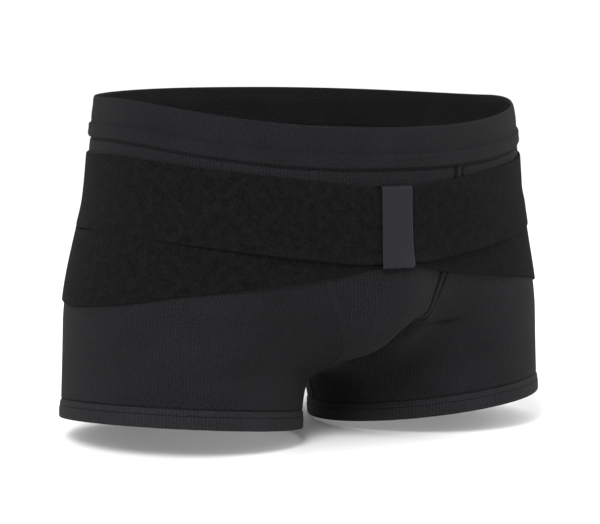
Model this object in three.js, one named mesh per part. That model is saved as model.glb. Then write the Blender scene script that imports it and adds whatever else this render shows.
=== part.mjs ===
// Hernia support shorts, shaped as worn: close-fitting trunks of rib-knit cloth with two elastic
// straps on each side, which run round the hips and meet under an upright loop at the front.
// Millimetres, +Z up, front towards -Y, +X to the wearer's left. The origin is the middle of the
// waist opening.
import * as THREE from "three";

// The body that the shorts are shaped to.
const WAIST_WIDTH = 306;
const WAIST_DEPTH = 216;
const HIP_WIDTH = 316;
const HIP_DEPTH = 224;
const HIP_DROP = 60; // from the origin down to where the trunk stops widening
const TRUNK_END_DROP = 185; // down to the trunk's rounded lower end, between the legs
const TRUNK_ROUNDING = 108; // the height over which that end is rounded
const TRUNK_SQUARENESS = 2.2; // 2 is an ellipse, and more is squarer
const THIGH_WIDTH = 160;
const THIGH_DEPTH = 178;
const THIGH_SPACING = 200; // between the middles of the legs at the hems
const THIGH_SPLAY = 0.04; // how far a leg moves outwards for each unit down
const THIGH_TOP_DROP = 152; // down to where a thigh starts its rounded upper end
const THIGH_ROUNDING = 112;
const THIGH_FORWARD = -3; // how far the legs' middles stand in front of the trunk's
const POUCH_WIDTH = 76;
const POUCH_DEPTH = 86;
const POUCH_HEIGHT = 70;
const POUCH_DROP = 132;
const POUCH_FORWARD = 76; // from the trunk's middle forward to the pouch's
const CHEEK_WIDTH = 122;
const CHEEK_DEPTH = 112;
const CHEEK_HEIGHT = 150;
const CHEEK_DROP = 128;
const CHEEK_SPACING = 136;
const CHEEK_BACK = 62; // from the trunk's middle back to the cheeks' middles
const BLEND = 10; // how softly the parts of the body run into each other
const WALK_STEP = 6; // the stride of a walk from inside the body to its surface

// The waistline, the waistband and the leg hems.
const WAIST_FRONT_DROP = 14;
const WAIST_SIDE_RISE = 5.5;
const WAIST_BACK_RISE = 11;
const WAIST_SWEEP = 2.4; // how late the waistline rises on its way from the front to the side
const BAND_HEIGHT = 28.5;
const BAND_WALL = 2.6;
const BAND_RIDGE = 1.2; // how far the seam ridge under the band stands proud
const HEM_DROP = 220; // from the origin down to the hem's edge at the middle of the leg
const HEM_RISE_OUTWARDS = 0.1; // the hem's edge climbs this much for each unit outwards
const HEM_RISE_FORWARDS = 0.08;
const HEM_HEIGHT = 14;
const HEM_WALL = 2.8;

// The knitted panels and their seams.
const KNIT_WALL = 1.6;
const SEAM_GAP = 0.5; // between two pieces that meet edge to edge
const POUCH_TOP_HALF = 57; // half the front panel's width at the waistband's seam
const GUSSET_FRONT_HALF = 10; // half the front panel's width where it meets the gusset
const GUSSET_FRONT = 36; // from the trunk's middle forward to the gusset's front edge
const GUSSET_BACK = 36;
const GUSSET_HEM_FRONT = 28; // the same two at the hems
const GUSSET_HEM_BACK = 28;
const GUSSET_REACH = 0.85; // how far in from the leg's middle those are measured, as a share of it

// The belt's straps and the loop that holds them.
const STRAP_WIDTH = 51;
const STRAP_WALL = 1.9;
const STRAP_GAP = 1.1; // between a strap and the layer under it
const STRAP_TOP_GAP = 6.5; // bare cloth between the waistband's seam and the straps
const STRAP_DIP = 5; // how far the loop draws the straps down at the front
const LOOP_WIDTH = 23;
const LOOP_WALL = 1.2;
const LOOP_OVERLAP = 1.1; // how far the loop stands past the straps' edges

// Half the front panel's width down its seam, as shares of the way to the gusset and of its top.
const POUCH_SEAM = [
  { down: 0, half: 1 },
  { down: 0.25, half: 0.94 },
  { down: 0.5, half: 0.8 },
  { down: 0.68, half: 0.62 },
  { down: 0.82, half: 0.44 },
  { down: 0.93, half: 0.28 },
  { down: 1, half: GUSSET_FRONT_HALF / POUCH_TOP_HALF },
];
// Round the hips from the front, in degrees: how much of the dip is left, and how far the lower
// strap lies below the upper one, as a share of the straps' width.
const STRAP_RUN = [
  { turn: 0, dip: 1, spread: 0.04 },
  { turn: 7, dip: 0.96, spread: 0.05 },
  { turn: 12, dip: 0.68, spread: 0.14 },
  { turn: 18, dip: 0.32, spread: 0.24 },
  { turn: 30, dip: 0.02, spread: 0.39 },
  { turn: 42, dip: 0, spread: 0.54 },
  { turn: 55, dip: 0.2, spread: 0.69 },
  { turn: 70, dip: 0.4, spread: 0.88 },
  { turn: 90, dip: 0.6, spread: 1 },
  { turn: 110, dip: 0.8, spread: 1 },
  { turn: 180, dip: 0.8, spread: 1 },
];
// The waistband's outer face from its seam up, as shares of its height and of its wall.
const BAND_PROFILE = [
  { up: 0, out: 0.72, ridge: 0.4 },
  { up: 0.07, out: 0.98, ridge: 1 },
  { up: 0.2, out: 0.98, ridge: 1 },
  { up: 0.28, out: 0.88, ridge: 0 },
  { up: 0.4, out: 1, ridge: 0 },
  { up: 0.9, out: 1, ridge: 0 },
  { up: 1, out: 0.6, ridge: 0 },
];

// How finely each piece is divided.
const PANEL_COLUMNS = 26;
const PANEL_MIDDLE_TOP = 0.45; // where a panel's rows are seen from, as shares of the leg's middle
const PANEL_MIDDLE_FORK = 0.75;
const RISE_ROWS = 11;
const LEG_ROWS = 3;
const POUCH_COLUMNS = 10;
const GUSSET_COLUMNS = 5;
const BAND_COLUMNS = 72;
const STRAP_COLUMNS = 46;
const STRAP_ROWS = 5;
const SINK_ROWS = 1.5; // over how many rows the upper strap sinks from the lower one to the cloth
const HEM_COLUMNS = 40;
const LOOP_COLUMNS = 3;
const ROW_CROWDING = 1.7; // how much closer the panels' rows lie near the crotch
const COLUMN_CROWDING = 1.25; // and their columns near the front seam

const BLACK_KNIT = new THREE.MeshStandardMaterial({ color: 0x2b2b2d, roughness: 0.9 });
const BLACK_BAND = new THREE.MeshStandardMaterial({ color: 0x29292b, roughness: 0.85 });
const BLACK_PILE = new THREE.MeshStandardMaterial({ color: 0x1d1d1f, roughness: 1 });
const GREY_WEBBING = new THREE.MeshStandardMaterial({ color: 0x35343a, roughness: 0.75 });

// Smooth value of a column of a table at a place between its rows.
function along(table, key, column, place) {
  const last = table.length - 1;
  let i = 0;
  while (i < last - 1 && place > table[i + 1][key]) i++;
  const slope = (k) => {
    const a = table[Math.max(0, k - 1)];
    const b = table[Math.min(last, k + 1)];
    return (b[column] - a[column]) / (b[key] - a[key]);
  };
  const span = table[i + 1][key] - table[i][key];
  const t = THREE.MathUtils.clamp((place - table[i][key]) / span, 0, 1);
  const rise = table[i + 1][column] - table[i][column];
  const start = slope(i) * span;
  const end = slope(i + 1) * span;
  const curve = start + (3 * rise - 2 * start - end) * t + (start + end - 2 * rise) * t * t;
  return table[i][column] + t * curve;
}

const mix = (a, b, t) => a + (b - a) * t;
const shares = (count) => Array.from({ length: count + 1 }, (_, i) => i / count);

// Roughly how far a point lies outside a rounded tube or egg with the given half sizes.
function outside(x, y, z, halfWidth, halfDepth, halfHeight, squareness) {
  const size = (s, half) => Math.abs(s / half) ** squareness;
  const share = (size(x, halfWidth) + size(y, halfDepth) + size(z, halfHeight)) ** (1 / squareness);
  return share < 1e-6 ? -halfWidth : Math.hypot(x, y, z) * (1 - 1 / share);
}

function outsideTrunk(x, y, z) {
  const t = 1 - THREE.MathUtils.clamp(1 + z / HIP_DROP, 0, 1) ** 2;
  const halfWidth = mix(WAIST_WIDTH, HIP_WIDTH, t) / 2;
  const halfDepth = mix(WAIST_DEPTH, HIP_DEPTH, t) / 2;
  const below = Math.max(0, TRUNK_ROUNDING - TRUNK_END_DROP - z);
  return outside(x, y, below, halfWidth, halfDepth, TRUNK_ROUNDING, TRUNK_SQUARENESS);
}

function outsideThigh(x, y, z, side) {
  const middle = side * (THIGH_SPACING / 2 - THIGH_SPLAY * (z + HEM_DROP));
  const above = Math.max(0, z + THIGH_TOP_DROP);
  return outside(x - middle, y + THIGH_FORWARD, above, THIGH_WIDTH / 2, THIGH_DEPTH / 2, THIGH_ROUNDING, 2);
}

function outsidePouch(x, y, z) {
  const half = [POUCH_WIDTH / 2, POUCH_DEPTH / 2, POUCH_HEIGHT / 2];
  return outside(x, y + POUCH_FORWARD, z + POUCH_DROP, ...half, 2);
}

function outsideCheek(x, y, z, side) {
  const half = [CHEEK_WIDTH / 2, CHEEK_DEPTH / 2, CHEEK_HEIGHT / 2];
  return outside(x - (side * CHEEK_SPACING) / 2, y - CHEEK_BACK, z + CHEEK_DROP, ...half, 2);
}

// The body is where this is below zero. Its parts run into each other softly.
function outsideBody(x, y, z) {
  const parts = [outsideTrunk(x, y, z), outsidePouch(x, y, z)];
  for (const side of [-1, 1]) parts.push(outsideThigh(x, y, z, side), outsideCheek(x, y, z, side));
  return -BLEND * Math.log(parts.reduce((sum, d) => sum + Math.exp(-d / BLEND), 0));
}

// The way out of the body at a point.
function normalAt(p) {
  const step = 0.5;
  const change = (dx, dy, dz) =>
    outsideBody(p.x + dx, p.y + dy, p.z + dz) - outsideBody(p.x - dx, p.y - dy, p.z - dz);
  return new THREE.Vector3(change(step, 0, 0), change(0, step, 0), change(0, 0, step)).normalize();
}

const raised = (p, height) => p.clone().addScaledVector(normalAt(p), height);

// Where a walk from inside the body leaves it. The walk goes from (x, y) along (dx, dy) and keeps
// to a level, which gives the height at each place.
function leave(x, y, dx, dy, level) {
  const length = Math.hypot(dx, dy);
  const at = (r) => {
    const px = x + (dx / length) * r;
    const py = y + (dy / length) * r;
    return new THREE.Vector3(px, py, level(px, py));
  };
  const isOut = (p) => outsideBody(p.x, p.y, p.z) >= 0;
  let out = WALK_STEP;
  while (!isOut(at(out))) out += WALK_STEP;
  let inside = out - WALK_STEP;
  for (let i = 0; i < 30; i++) {
    const middle = (inside + out) / 2;
    if (isOut(at(middle))) out = middle;
    else inside = middle;
  }
  return at(out);
}

// Moves a point that lies near the body onto it.
function settled(p) {
  const q = p.clone();
  for (let i = 0; i < 12; i++) q.addScaledVector(normalAt(q), -0.9 * outsideBody(q.x, q.y, q.z));
  return q;
}

// The height of the body's underside at a place between the legs.
function underside(x, y) {
  let inside = -THIGH_TOP_DROP;
  let out = -HEM_DROP - THIGH_ROUNDING;
  for (let i = 0; i < 40; i++) {
    const middle = (inside + out) / 2;
    if (outsideBody(x, y, middle) < 0) inside = middle;
    else out = middle;
  }
  return out;
}

// Levels: each gives the height of a line round the shorts at a place (x, y).
function waistEdge(x, y) {
  const sideways = Math.abs(x) / Math.hypot(x, (y * WAIST_WIDTH) / WAIST_DEPTH);
  return mix(y < 0 ? -WAIST_FRONT_DROP : WAIST_BACK_RISE, WAIST_SIDE_RISE, sideways ** WAIST_SWEEP);
}
const waistSeam = (x, y) => waistEdge(x, y) - BAND_HEIGHT;
const hemEdge = (x, y) =>
  -HEM_DROP + HEM_RISE_OUTWARDS * (Math.abs(x) - THIGH_SPACING / 2) - HEM_RISE_FORWARDS * y;
const hemSeam = (x, y) => hemEdge(x, y) + HEM_HEIGHT;

// The fork level goes through the gusset's front and back corners.
const forkFront = underside(GUSSET_FRONT_HALF, -GUSSET_FRONT);
const forkBack = underside(0, GUSSET_BACK);
const forkSlope = (forkBack - forkFront) / (GUSSET_BACK + GUSSET_FRONT);
const fork = (x, y) =>
  forkFront + forkSlope * (y + GUSSET_FRONT) + (HEM_RISE_OUTWARDS / 2) * (Math.abs(x) - GUSSET_FRONT_HALF);

const between = (low, high, t) => (x, y) => mix(low(x, y), high(x, y), t);
const shifted = (level, by) => (x, y) => level(x, y) + by;

// A leg panel's rows, from the waistband's seam to the fork and on to the hem. Each has its level,
// the middle that its points are seen from, and its front and back ends.
function panelRows(riseRows, legRows) {
  const rows = [];
  for (const t of shares(riseRows)) {
    const down = 1 - (1 - t) ** ROW_CROWDING;
    const level = between(shifted(waistSeam, -SEAM_GAP / 2), fork, down);
    const half = POUCH_TOP_HALF * along(POUCH_SEAM, "down", "half", down);
    rows.push({
      level,
      middle: mix(PANEL_MIDDLE_TOP, PANEL_MIDDLE_FORK, t) * (THIGH_SPACING / 2),
      front: leave(half + SEAM_GAP / 2, 0, 0, -1, level),
      back: leave(SEAM_GAP / 2, 0, 0, 1, level),
    });
  }
  for (const t of shares(legRows).slice(1)) {
    const level = between(fork, shifted(hemSeam, SEAM_GAP / 2), t);
    const middle = mix(PANEL_MIDDLE_FORK, 1, t) * (THIGH_SPACING / 2);
    const inwards = (y) => leave(middle, 0, -GUSSET_REACH * middle, y, level);
    rows.push({
      level,
      middle,
      front: inwards(-mix(GUSSET_FRONT, GUSSET_HEM_FRONT, t)),
      back: inwards(mix(GUSSET_BACK, GUSSET_HEM_BACK, t)),
    });
  }
  return rows;
}

// Points along one row of a leg panel, from the front seam round the outside to the back seam.
function rowPoints(row, columns) {
  const turn = (p) => Math.atan2(p.x - row.middle, -p.y);
  const start = turn(row.front);
  const end = turn(row.back) + (turn(row.back) < 0 ? 2 * Math.PI : 0);
  return shares(columns).map((t, i) => {
    if (i === 0) return row.front;
    if (i === columns) return row.back;
    const angle = mix(start, end, t ** COLUMN_CROWDING);
    return leave(row.middle, 0, Math.sin(angle), -Math.cos(angle), row.level);
  });
}

// A closed solid from sections, each of which has an outer and an inner line of points.
function wall(sections, closed = false) {
  const half = sections[0].outer.length;
  const loop = 2 * half;
  const points = sections.flatMap((s) => [...s.outer, ...s.inner.slice().reverse()]);
  const corners = [];
  const quad = (a, b, c, d) => corners.push(a, b, c, a, c, d);
  sections.forEach((_, i) => {
    if (!closed && i === sections.length - 1) return;
    const a = i * loop;
    const b = ((i + 1) % sections.length) * loop;
    for (let j = 0; j < loop; j++) quad(a + j, a + ((j + 1) % loop), b + ((j + 1) % loop), b + j);
  });
  if (!closed) {
    const last = (sections.length - 1) * loop;
    for (let j = 0; j + 1 < half; j++) {
      quad(j, loop - 1 - j, loop - 2 - j, j + 1);
      quad(last + j + 1, last + loop - 2 - j, last + loop - 1 - j, last + j);
    }
  }
  let volume = 0;
  for (let i = 0; i < corners.length; i += 3) {
    const [a, b, c] = [0, 1, 2].map((k) => points[corners[i + k]]);
    volume += a.dot(b.clone().cross(c));
  }
  if (volume < 0) corners.reverse();
  return new THREE.BufferGeometry().setFromPoints(points).setIndex(corners);
}

// A sheet of cloth with its inner face on lines of points that lie on the body.
const sheet = (lines, thickness, lift = 0) =>
  wall(
    lines.map((line) => ({
      outer: line.map((p) => raised(p, lift + thickness)),
      inner: line.map((p) => raised(p, lift)),
    })),
  );

const mirrored = (lines) => lines.map((line) => line.map((p) => new THREE.Vector3(-p.x, p.y, p.z)));

function legPanel(side) {
  const lines = panelRows(RISE_ROWS, LEG_ROWS).map((row) => rowPoints(row, PANEL_COLUMNS));
  return sheet(side > 0 ? lines : mirrored(lines), KNIT_WALL);
}

// The front panel's last row is straight, before it settles on the body beside the gusset.
function frontPouch() {
  const rows = panelRows(RISE_ROWS, 0);
  const lines = rows.map((row, i) => {
    const half = row.front.x - SEAM_GAP;
    return shares(POUCH_COLUMNS).map((t) => {
      const x = mix(-half, half, t);
      if (i < rows.length - 1) return leave(x, 0, 0, -1, row.level);
      return settled(new THREE.Vector3(x, row.front.y - SEAM_GAP / 2, row.front.z));
    });
  });
  return sheet(lines, KNIT_WALL);
}

// The gusset runs from one leg's hem over the crotch to the other's, and its lines from front to
// back are straight before they settle on the body.
function crotchGusset() {
  const legs = panelRows(RISE_ROWS, LEG_ROWS).slice(RISE_ROWS);
  const inset = new THREE.Vector3(0, SEAM_GAP / 2, 0);
  const left = legs.map((row) => [row.front.clone().add(inset), row.back.clone().sub(inset)]);
  const right = left.map((ends) => ends.map((p) => new THREE.Vector3(-p.x, p.y, p.z)));
  const top = [left[0][0].clone().setX(0), left[0][1].clone().setX(0)];
  const ends = [...left.slice().reverse(), top, ...right];
  const lines = ends.map(([front, back]) =>
    shares(GUSSET_COLUMNS).map((t) => settled(front.clone().lerp(back, t))),
  );
  return sheet(lines, KNIT_WALL);
}

// A place round the trunk, seen from its middle. The turn is 0 at the front and positive to +X.
function atTurn(turn, level) {
  const angle = THREE.MathUtils.degToRad(turn);
  return leave(0, 0, HIP_WIDTH * Math.sin(angle), -HIP_DEPTH * Math.cos(angle), level);
}

function waistband() {
  const turns = shares(BAND_COLUMNS).slice(1).map((t) => 360 * t);
  const sections = turns.map((turn) => {
    const foot = (up) => atTurn(turn, shifted(waistSeam, mix(SEAM_GAP / 2, BAND_HEIGHT, up)));
    const out = (row) => BAND_WALL * row.out + BAND_RIDGE * row.ridge;
    return {
      outer: BAND_PROFILE.map((row) => raised(foot(row.up), out(row))),
      inner: BAND_PROFILE.map((row) => raised(foot(row.up), 0)),
    };
  });
  return wall(sections, true);
}

function legHem(side) {
  const middle = THIGH_SPACING / 2;
  const sections = shares(HEM_COLUMNS)
    .slice(1)
    .map((t) => {
      const angle = 2 * Math.PI * t;
      const line = [-SEAM_GAP / 2, -HEM_HEIGHT / 2, -HEM_HEIGHT].map((drop) => {
        const p = leave(middle, 0, Math.sin(angle), -Math.cos(angle), shifted(hemSeam, drop));
        return p.setX(side * p.x);
      });
      return { outer: line.map((p) => raised(p, HEM_WALL)), inner: line };
    });
  return wall(sections, true);
}

// The straps' edges. Both are as wide as STRAP_WIDTH, and the lower one lies under the upper one.
const strapDip = (turn) => STRAP_DIP * along(STRAP_RUN, "turn", "dip", turn);
const strapSpread = (turn) => STRAP_WIDTH * along(STRAP_RUN, "turn", "spread", turn);
const strapTop = (turn) => shifted(waistSeam, -STRAP_TOP_GAP - strapDip(turn));
const onCloth = KNIT_WALL + STRAP_GAP;
const onStrap = onCloth + STRAP_WALL + STRAP_GAP;

function strap(side, isUpper) {
  const rowHeight = STRAP_WIDTH / STRAP_ROWS;
  const edge = THREE.MathUtils.radToDeg(SEAM_GAP / HIP_WIDTH);
  const sections = shares(STRAP_COLUMNS).map((t) => {
    const turn = mix(edge, 180 - edge, t);
    const top = strapTop(turn);
    const spread = strapSpread(turn);
    const points = shares(STRAP_ROWS).map((down) => {
      const fall = down * STRAP_WIDTH + (isUpper ? 0 : spread);
      const foot = atTurn(turn, shifted(top, -fall)).multiply(new THREE.Vector3(side, 1, 1));
      // The upper strap stands on the lower one, and sinks to the cloth a row above it.
      const bare = THREE.MathUtils.smoothstep(spread - fall, rowHeight, (1 + SINK_ROWS) * rowHeight);
      const lift = isUpper ? mix(onStrap, onCloth, bare) : onCloth;
      return { foot, lift };
    });
    return {
      outer: points.map(({ foot, lift }) => raised(foot, lift + STRAP_WALL)),
      inner: points.map(({ foot, lift }) => raised(foot, lift)),
    };
  });
  return wall(sections);
}

// The loop goes over the straps at the front, and its ends turn in to the cloth.
function frontLoop() {
  const lowest = STRAP_WIDTH + strapSpread(0);
  const inside = onStrap + STRAP_WALL + STRAP_GAP;
  const profile = [
    { fall: -LOOP_OVERLAP, lift: onCloth },
    { fall: -LOOP_OVERLAP, lift: inside },
    { fall: lowest / 3, lift: inside },
    { fall: (2 * lowest) / 3, lift: inside },
    { fall: lowest + LOOP_OVERLAP, lift: inside },
    { fall: lowest + LOOP_OVERLAP, lift: onCloth },
  ];
  const sections = shares(LOOP_COLUMNS).map((t) => {
    const x = mix(-LOOP_WIDTH / 2, LOOP_WIDTH / 2, t);
    const place = (fall, lift) => raised(leave(x, 0, 0, -1, shifted(strapTop(0), -fall)), lift);
    const grown = (row, i) => {
      const isTop = i < 2;
      const isEnd = i < 2 || i > profile.length - 3;
      const isFront = row.lift === inside;
      const fall = row.fall + (isEnd ? (isTop ? -LOOP_WALL : LOOP_WALL) : 0);
      return place(fall, row.lift + (isFront ? LOOP_WALL : 0));
    };
    return { outer: profile.map(grown), inner: profile.map((row) => place(row.fall, row.lift)) };
  });
  return wall(sections);
}

const shorts = new THREE.Group();
function add(name, geometry, material) {
  const mesh = new THREE.Mesh(geometry, material);
  mesh.name = name;
  shorts.add(mesh);
}

add("waistband", waistband(), BLACK_BAND);
add("front_pouch", frontPouch(), BLACK_KNIT);
add("crotch_gusset", crotchGusset(), BLACK_KNIT);
for (const [name, side] of [
  ["left", 1],
  ["right", -1],
]) {
  add(`${name}_leg_panel`, legPanel(side), BLACK_KNIT);
  add(`${name}_leg_hem`, legHem(side), BLACK_KNIT);
  add(`${name}_lower_strap`, strap(side, false), BLACK_PILE);
  add(`${name}_upper_strap`, strap(side, true), BLACK_PILE);
}
add("front_loop", frontLoop(), GREY_WEBBING);

export default shorts;
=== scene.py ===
# %% [markdown]
# # Hernia support shorts with a crossed hip belt
#
# The object is a pair of close-fitting trunks, knitted in black rib cloth, with a soft elastic
# waistband and two wide velour straps on each side. The straps run round the hips and meet under
# an upright loop of webbing at the front. The trunks are shown as worn, with nobody in them.
#
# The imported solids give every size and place. This lesson dresses them: each cloth piece is
# knitted again here as a fine mesh over the same body form, with its seams, stitches and folds.

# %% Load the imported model
import math

import bpy
import numpy as np
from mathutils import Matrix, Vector


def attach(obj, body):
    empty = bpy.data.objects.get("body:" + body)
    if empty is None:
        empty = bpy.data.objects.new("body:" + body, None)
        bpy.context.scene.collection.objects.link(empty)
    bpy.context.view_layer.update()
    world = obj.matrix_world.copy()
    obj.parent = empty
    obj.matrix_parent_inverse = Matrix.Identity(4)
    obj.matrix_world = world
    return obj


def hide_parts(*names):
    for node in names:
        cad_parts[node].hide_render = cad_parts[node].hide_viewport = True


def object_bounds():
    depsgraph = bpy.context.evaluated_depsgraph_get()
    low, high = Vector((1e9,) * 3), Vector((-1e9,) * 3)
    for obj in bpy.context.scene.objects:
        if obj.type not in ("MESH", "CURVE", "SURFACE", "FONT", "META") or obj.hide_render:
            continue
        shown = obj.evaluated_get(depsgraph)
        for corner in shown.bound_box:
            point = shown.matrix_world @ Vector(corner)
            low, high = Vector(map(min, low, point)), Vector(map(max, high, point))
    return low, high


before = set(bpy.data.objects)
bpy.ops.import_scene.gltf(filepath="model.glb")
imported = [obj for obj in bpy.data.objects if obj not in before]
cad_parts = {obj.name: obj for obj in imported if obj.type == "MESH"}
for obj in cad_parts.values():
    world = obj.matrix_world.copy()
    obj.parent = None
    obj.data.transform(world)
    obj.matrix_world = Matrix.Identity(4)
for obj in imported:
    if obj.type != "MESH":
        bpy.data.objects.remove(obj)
cad_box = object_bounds()
MM = 0.001
print("nodes:", ", ".join(sorted(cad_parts)))

# %% [markdown]
# ## Camera
#
# A long lens from a metre and a half away keeps the garment free of distortion, as a catalogue
# photograph does. The camera could be placed by hand, but the turn, the height and the scale
# below were fitted to the outline, so a plain formula is shorter and repeats exactly.

# %% Camera
CAMERA_TURN = math.radians(-29.8)
CAMERA_RISE = math.radians(5.3)
CAMERA_DISTANCE = 1.5
SENSOR_WIDTH = 36
PIXELS_PER_METRE = 1402  # at the middle of the garment
PICTURE_WIDTH = 600
AIM_LEFT = 0.0052  # the camera aims this far to the left of the garment's axis
AIM_HEIGHT = -0.1126

right = Vector((math.cos(CAMERA_TURN), math.sin(CAMERA_TURN), 0))
level_share = math.cos(CAMERA_RISE)
back_x, back_y = math.sin(CAMERA_TURN) * level_share, -math.cos(CAMERA_TURN) * level_share
back = Vector((back_x, back_y, math.sin(CAMERA_RISE)))
aim = Vector((0, 0, AIM_HEIGHT)) - AIM_LEFT * right
camera = bpy.data.objects.new("camera", bpy.data.cameras.new("camera"))
bpy.context.collection.objects.link(camera)
camera.data.sensor_width = SENSOR_WIDTH
camera.data.lens = SENSOR_WIDTH * PIXELS_PER_METRE * CAMERA_DISTANCE / PICTURE_WIDTH
camera.location = aim + CAMERA_DISTANCE * back
camera.rotation_euler = (-back).to_track_quat("-Z", "Y").to_euler()
bpy.context.scene.camera = camera
print("lens", round(camera.data.lens, 1), "mm")

# %% [markdown]
# ## Materials
#
# Every finish here is black cloth, so what tells them apart is the size of the yarn, the way the
# light rakes over it and the soft shine at the edges. Colours are written as they look on a
# screen and turned to linear light by one function, and one small function adds a node.


# %% Helpers for materials
def linear(colour):
    """A screen colour such as 0x2b2b2d as linear red, green, blue and 1."""
    channels = [(colour >> shift & 255) / 255 for shift in (16, 8, 0)]
    return [c / 12.92 if c <= 0.04045 else ((c + 0.055) / 1.055) ** 2.4 for c in channels] + [1.0]


def add(material, kind, inputs=(), **settings):
    """Adds a node. Each input is a value, or the socket that it is linked to."""
    node = material.node_tree.nodes.new("ShaderNode" + kind)
    for name, value in settings.items():
        setattr(node, name, value)
    for key, value in dict(inputs).items():
        if isinstance(value, bpy.types.NodeSocket):
            material.node_tree.links.new(value, node.inputs[key])
        else:
            node.inputs[key].default_value = value
    return node


def new_material(name, looks):
    """A material with only a shader and its output. looks gives the shader's inputs."""
    material = bpy.data.materials.new(name)
    material.use_nodes = True
    material.node_tree.nodes.clear()
    shader = add(material, "BsdfPrincipled", looks)
    add(material, "OutputMaterial", {"Surface": shader.outputs["BSDF"]})
    return material, shader


# %% [markdown]
# ## Floor and light
#
# The photograph has a white sweep and soft light that is a little stronger from the left. A wide
# pale floor under a white sky does the same. Two large lamps give the cloth its shape: a strong
# one in front on the left, and a weak one at the right side for the soft shine along the edges.

# %% Floor and light
FLOOR_REACH = 30
FLOOR_GAP = 0.0005  # metres between the hems and the floor
SKY_STRENGTH = 1.1
LAMPS = [  # where it stands, its size and power
    ("key lamp", (-1.9, -1.9, 2.2), 1.3, 98),
    ("side lamp", (2.6, -0.2, 0.8), 1.2, 21),
]

paint, _ = new_material("matt white studio paint", {"Base Color": linear(0xF8F8F8), "Roughness": 0.9})
floor_height = cad_box[0].z - FLOOR_GAP
bpy.ops.mesh.primitive_plane_add(size=2 * FLOOR_REACH, location=(0, 0, floor_height))
floor = bpy.context.object
floor.name = "floor"
floor.data.materials.append(paint)

world = bpy.context.scene.world or bpy.data.worlds.new("sky")
bpy.context.scene.world = world
world.use_nodes = True
sky = world.node_tree.nodes["Background"]
sky.inputs["Color"].default_value = (1, 1, 1, 1)
sky.inputs["Strength"].default_value = SKY_STRENGTH
for name, place, size, power in LAMPS:
    lamp = bpy.data.objects.new(name, bpy.data.lights.new(name, "AREA"))
    lamp.data.size = size
    lamp.data.energy = power
    lamp.location = place
    lamp.rotation_euler = (aim - Vector(place)).to_track_quat("-Z", "Y").to_euler()
    bpy.context.collection.objects.link(lamp)
bpy.context.scene.view_settings.view_transform = "Standard"
print("lamps:", len(LAMPS))

# %% [markdown]
# ## The body form
#
# Stretch cloth takes the shape of what it is pulled over, so the cloth is made on a body form:
# a trunk, two thighs, a pouch and two cheeks that run into each other softly. A form could be
# sculpted, but as a formula it can be asked for its surface at any place, as finely as a mesh
# needs. The sizes are the solids' own, in millimetres.

# %% Sizes of the body form, in millimetres
WAIST_WIDTH, WAIST_DEPTH, HIP_WIDTH, HIP_DEPTH, HIP_DROP = 306, 216, 316, 224, 60
TRUNK_END_DROP, TRUNK_ROUNDING, TRUNK_SQUARENESS = 185, 108, 2.2
THIGH_WIDTH, THIGH_DEPTH, THIGH_SPACING, THIGH_SPLAY = 160, 178, 200, 0.04
THIGH_TOP_DROP, THIGH_ROUNDING, THIGH_FORWARD = 152, 112, -3
POUCH_SIZE, POUCH_DROP, POUCH_FORWARD = (76, 86, 70), 132, 76
CHEEK_SIZE, CHEEK_DROP, CHEEK_SPACING, CHEEK_BACK = (122, 112, 150), 128, 136, 62
BLEND, WALK_STEP = 10, 6

WAIST_FRONT_DROP, WAIST_SIDE_RISE, WAIST_BACK_RISE, WAIST_SWEEP = 14, 5.5, 11, 2.4
BAND_HEIGHT = 28.5
HEM_DROP, HEM_RISE_OUTWARDS, HEM_RISE_FORWARDS, HEM_HEIGHT, HEM_WALL = 220, 0.1, 0.08, 14, 2.8
KNIT_WALL, SEAM_GAP = 1.6, 0.5
POUCH_TOP_HALF, GUSSET_FRONT_HALF = 57, 10
GUSSET_FRONT, GUSSET_BACK, GUSSET_HEM_FRONT, GUSSET_HEM_BACK, GUSSET_REACH = 36, 36, 28, 28, 0.85
POUCH_SEAM = [  # (share of the way down, half width as a share of the top)
    (0, 1), (0.25, 0.94), (0.5, 0.8), (0.68, 0.62), (0.82, 0.44), (0.93, 0.28),
    (1, GUSSET_FRONT_HALF / POUCH_TOP_HALF),
]
PANEL_MIDDLE_TOP, PANEL_MIDDLE_FORK, ROW_CROWDING = 0.45, 0.75, 1.7


# %% The body form
SIDES = (("left", 1), ("right", -1))
NORMAL_STEP = 0.5
SETTLE_ROUNDS, SETTLE_SHARE = 12, 0.9  # how often a point is moved to the body, and how far
WALK_HALVINGS, UNDERSIDE_HALVINGS = 24, 40


def mix(a, b, t):
    return a + (b - a) * t


def outside(x, y, z, size, squareness=2.0):
    """Roughly how far a point lies outside a rounded tube or egg of that size."""
    halves = [s / 2 for s in size]
    total = sum(np.abs(c / h) ** squareness for c, h in zip((x, y, z), halves))
    share = np.maximum(total ** (1 / squareness), 1e-6)
    return np.where(share <= 1e-6, -halves[0], np.sqrt(x * x + y * y + z * z) * (1 - 1 / share))


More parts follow.
